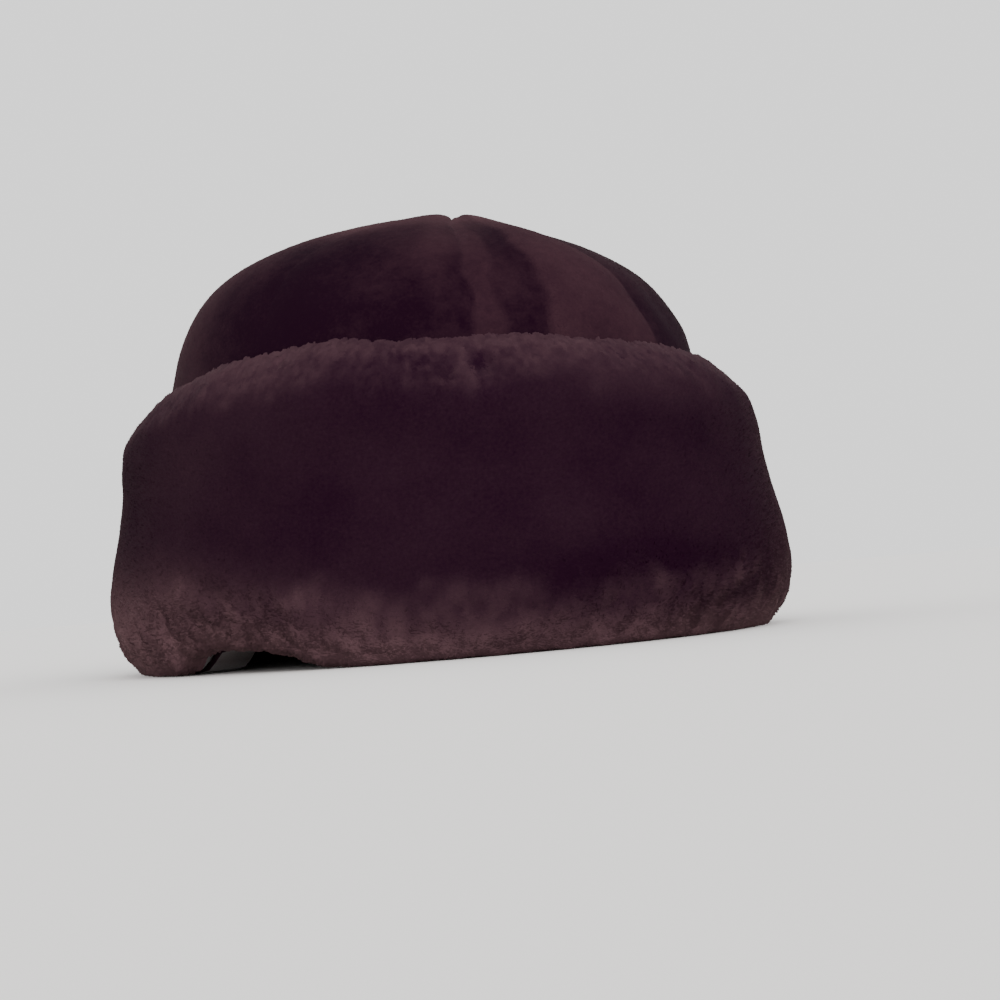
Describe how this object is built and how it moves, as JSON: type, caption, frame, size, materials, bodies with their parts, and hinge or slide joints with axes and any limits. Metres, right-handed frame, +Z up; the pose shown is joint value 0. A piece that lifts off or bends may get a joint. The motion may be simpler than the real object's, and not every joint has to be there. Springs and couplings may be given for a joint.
{
  "type": "shearling hat with a turned-up cuff",
  "caption": "Sheared sheepskin hat: a low dome of pillowed gores with a notch at the top, inside a deep, thick, rounded turned-up cuff with a parting at the front.",
  "frame": {"origin": "centre of the hat's bounding box, on the plane that the hem and the cuff's fold rest on", "axes": "+Z up through the crown, -Y out of the front seam, +X to the right as the front is looked at"},
  "size_m": [0.2606, 0.2748, 0.1669],
  "materials": {
    "crown_fleece": "dark aubergine brown sheared sheepskin with a short, brushed nap",
    "cuff_fleece": "dark aubergine brown sheared sheepskin with a deep velvety pile, clumped along the fold and the free edge"
  },
  "bodies": {
    "root": {"crown_gore_1": "crown_fleece", "crown_gore_2": "crown_fleece", "crown_gore_3": "crown_fleece", "crown_gore_4": "crown_fleece", "crown_gore_5": "crown_fleece", "crown_gore_6": "crown_fleece", "crown_gore_7": "crown_fleece", "crown_gore_8": "crown_fleece", "cuff": "cuff_fleece"}
  },
  "joints": []
}
